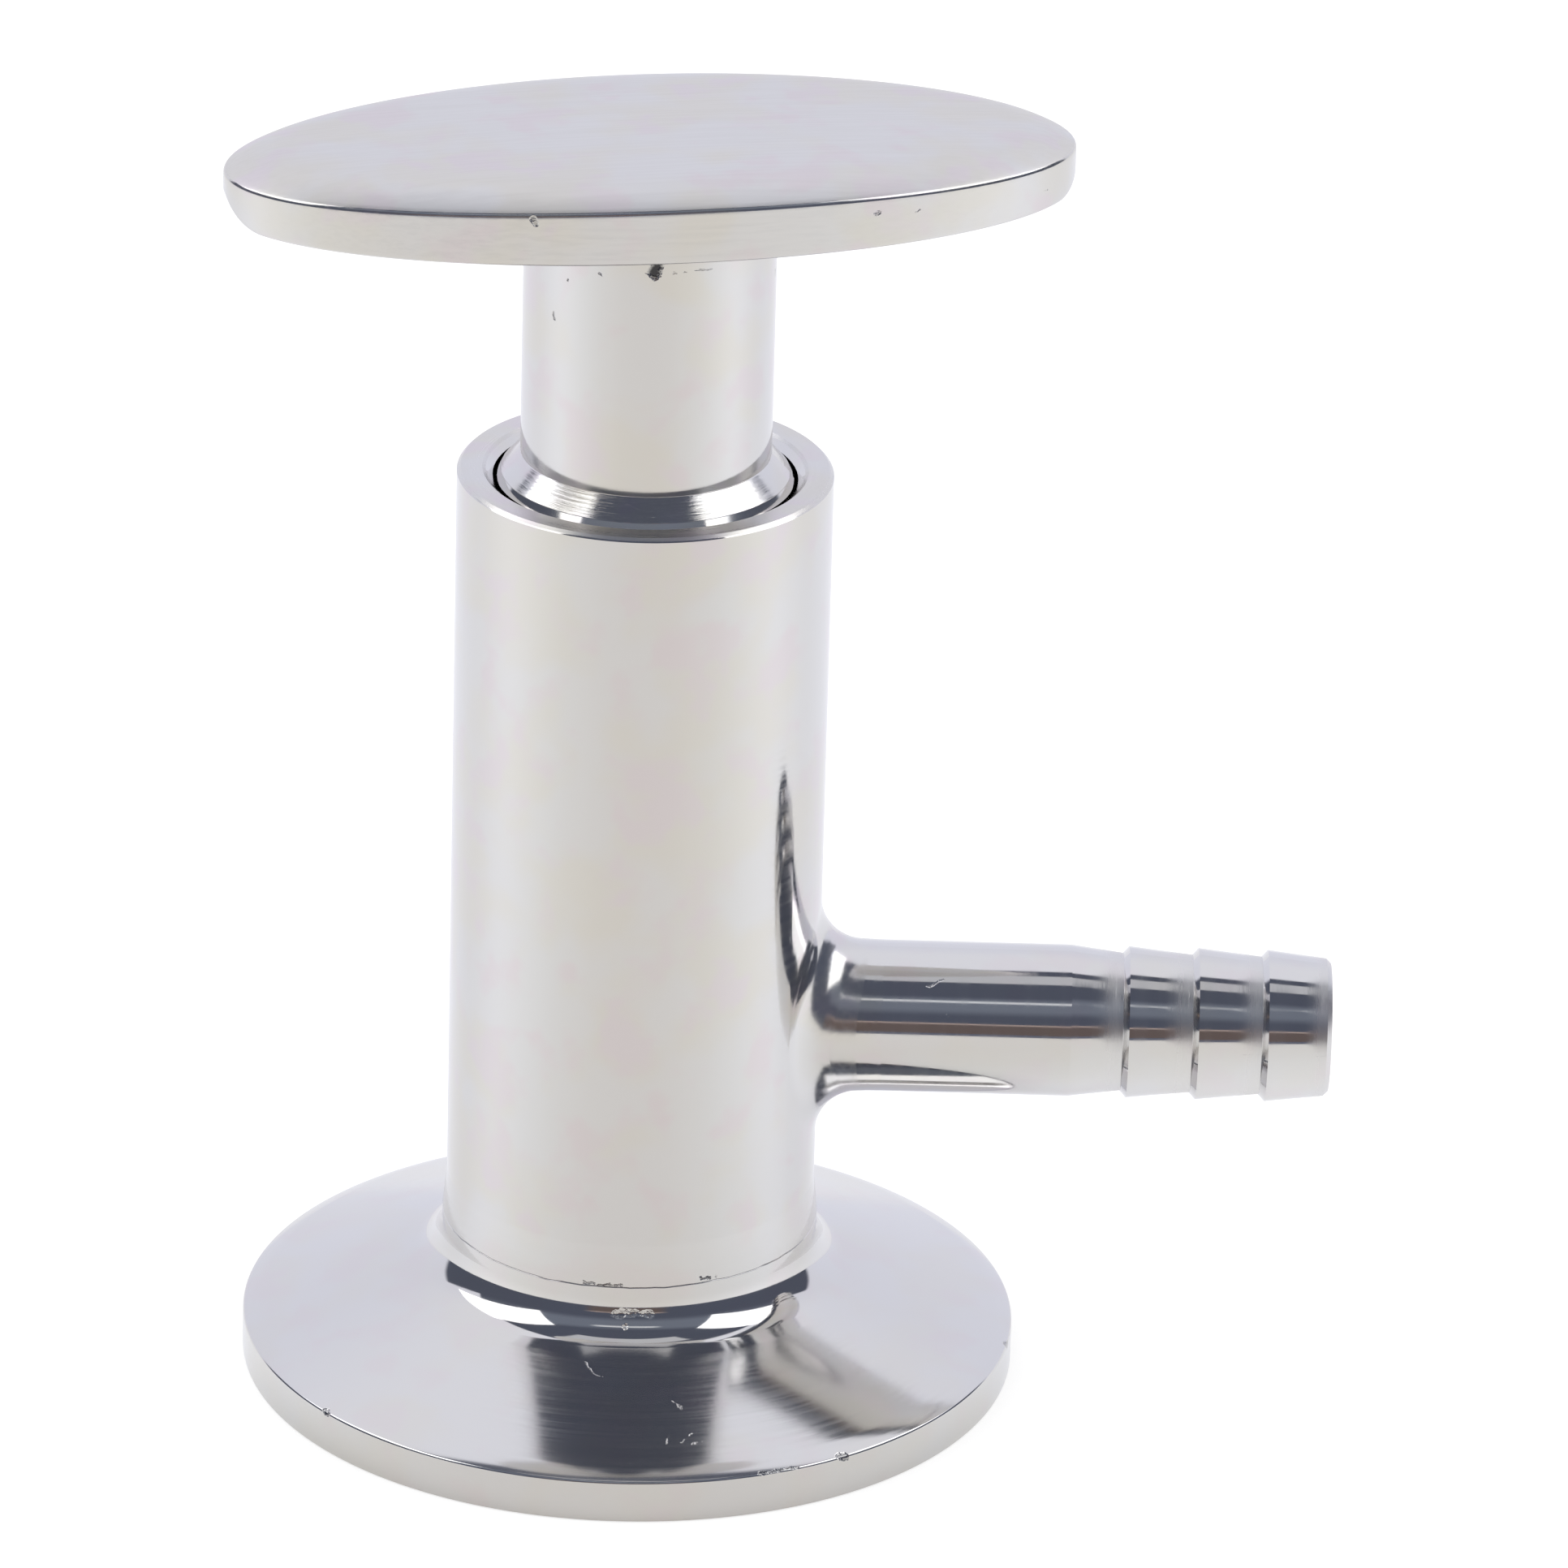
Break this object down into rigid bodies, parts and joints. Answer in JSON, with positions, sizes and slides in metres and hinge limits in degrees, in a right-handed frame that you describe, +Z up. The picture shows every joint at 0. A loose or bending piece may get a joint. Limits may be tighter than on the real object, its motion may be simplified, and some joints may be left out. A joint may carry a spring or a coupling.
{
  "type": "sanitary sampling valve",
  "caption": "Hand-operated sampling valve with a clamp flange inlet, a straight barbed hose spout on its side and an oval plate handle on a screw stem.",
  "frame": {"origin": "centre of the clamp flange's sealing face, on the axis of the inlet bore", "axes": "+Z up the stem's axis from the flange to the handle, +X along the hose spout"},
  "size_m": [0.0719, 0.0506, 0.0842],
  "materials": {
    "polished_steel": "mirror-polished stainless steel",
    "satin_steel": "satin stainless steel",
    "weld_steel": "ground stainless weld",
    "seal_rubber": "matte black EPDM"
  },
  "bodies": {
    "valve_body": {"clamp_flange": "polished_steel", "flange_weld": "weld_steel", "valve_barrel": "satin_steel", "hose_spout": "polished_steel"},
    "plug": {"seat_plug": "seal_rubber"},
    "stem_assembly": {"stem": "satin_steel", "handle_plate": "satin_steel", "handle_weld": "weld_steel", "lower_o_ring": "seal_rubber", "upper_o_ring": "seal_rubber"}
  },
  "joints": [
    {"name": "stem_lift", "type": "slide", "parent": "valve_body", "child": "plug", "axis": [0, 0, 1], "range_m": [0, 0.006]},
    {"name": "stem_turn", "type": "hinge", "parent": "plug", "child": "stem_assembly", "pos_m": [0, 0, 0.04], "axis": [0, 0, 1], "range_deg": [0, 1080]}
  ],
  "couplings": [
    {"joint": "stem_lift", "follows": "stem_turn", "m_per_rad": 0.00031831}
  ]
}
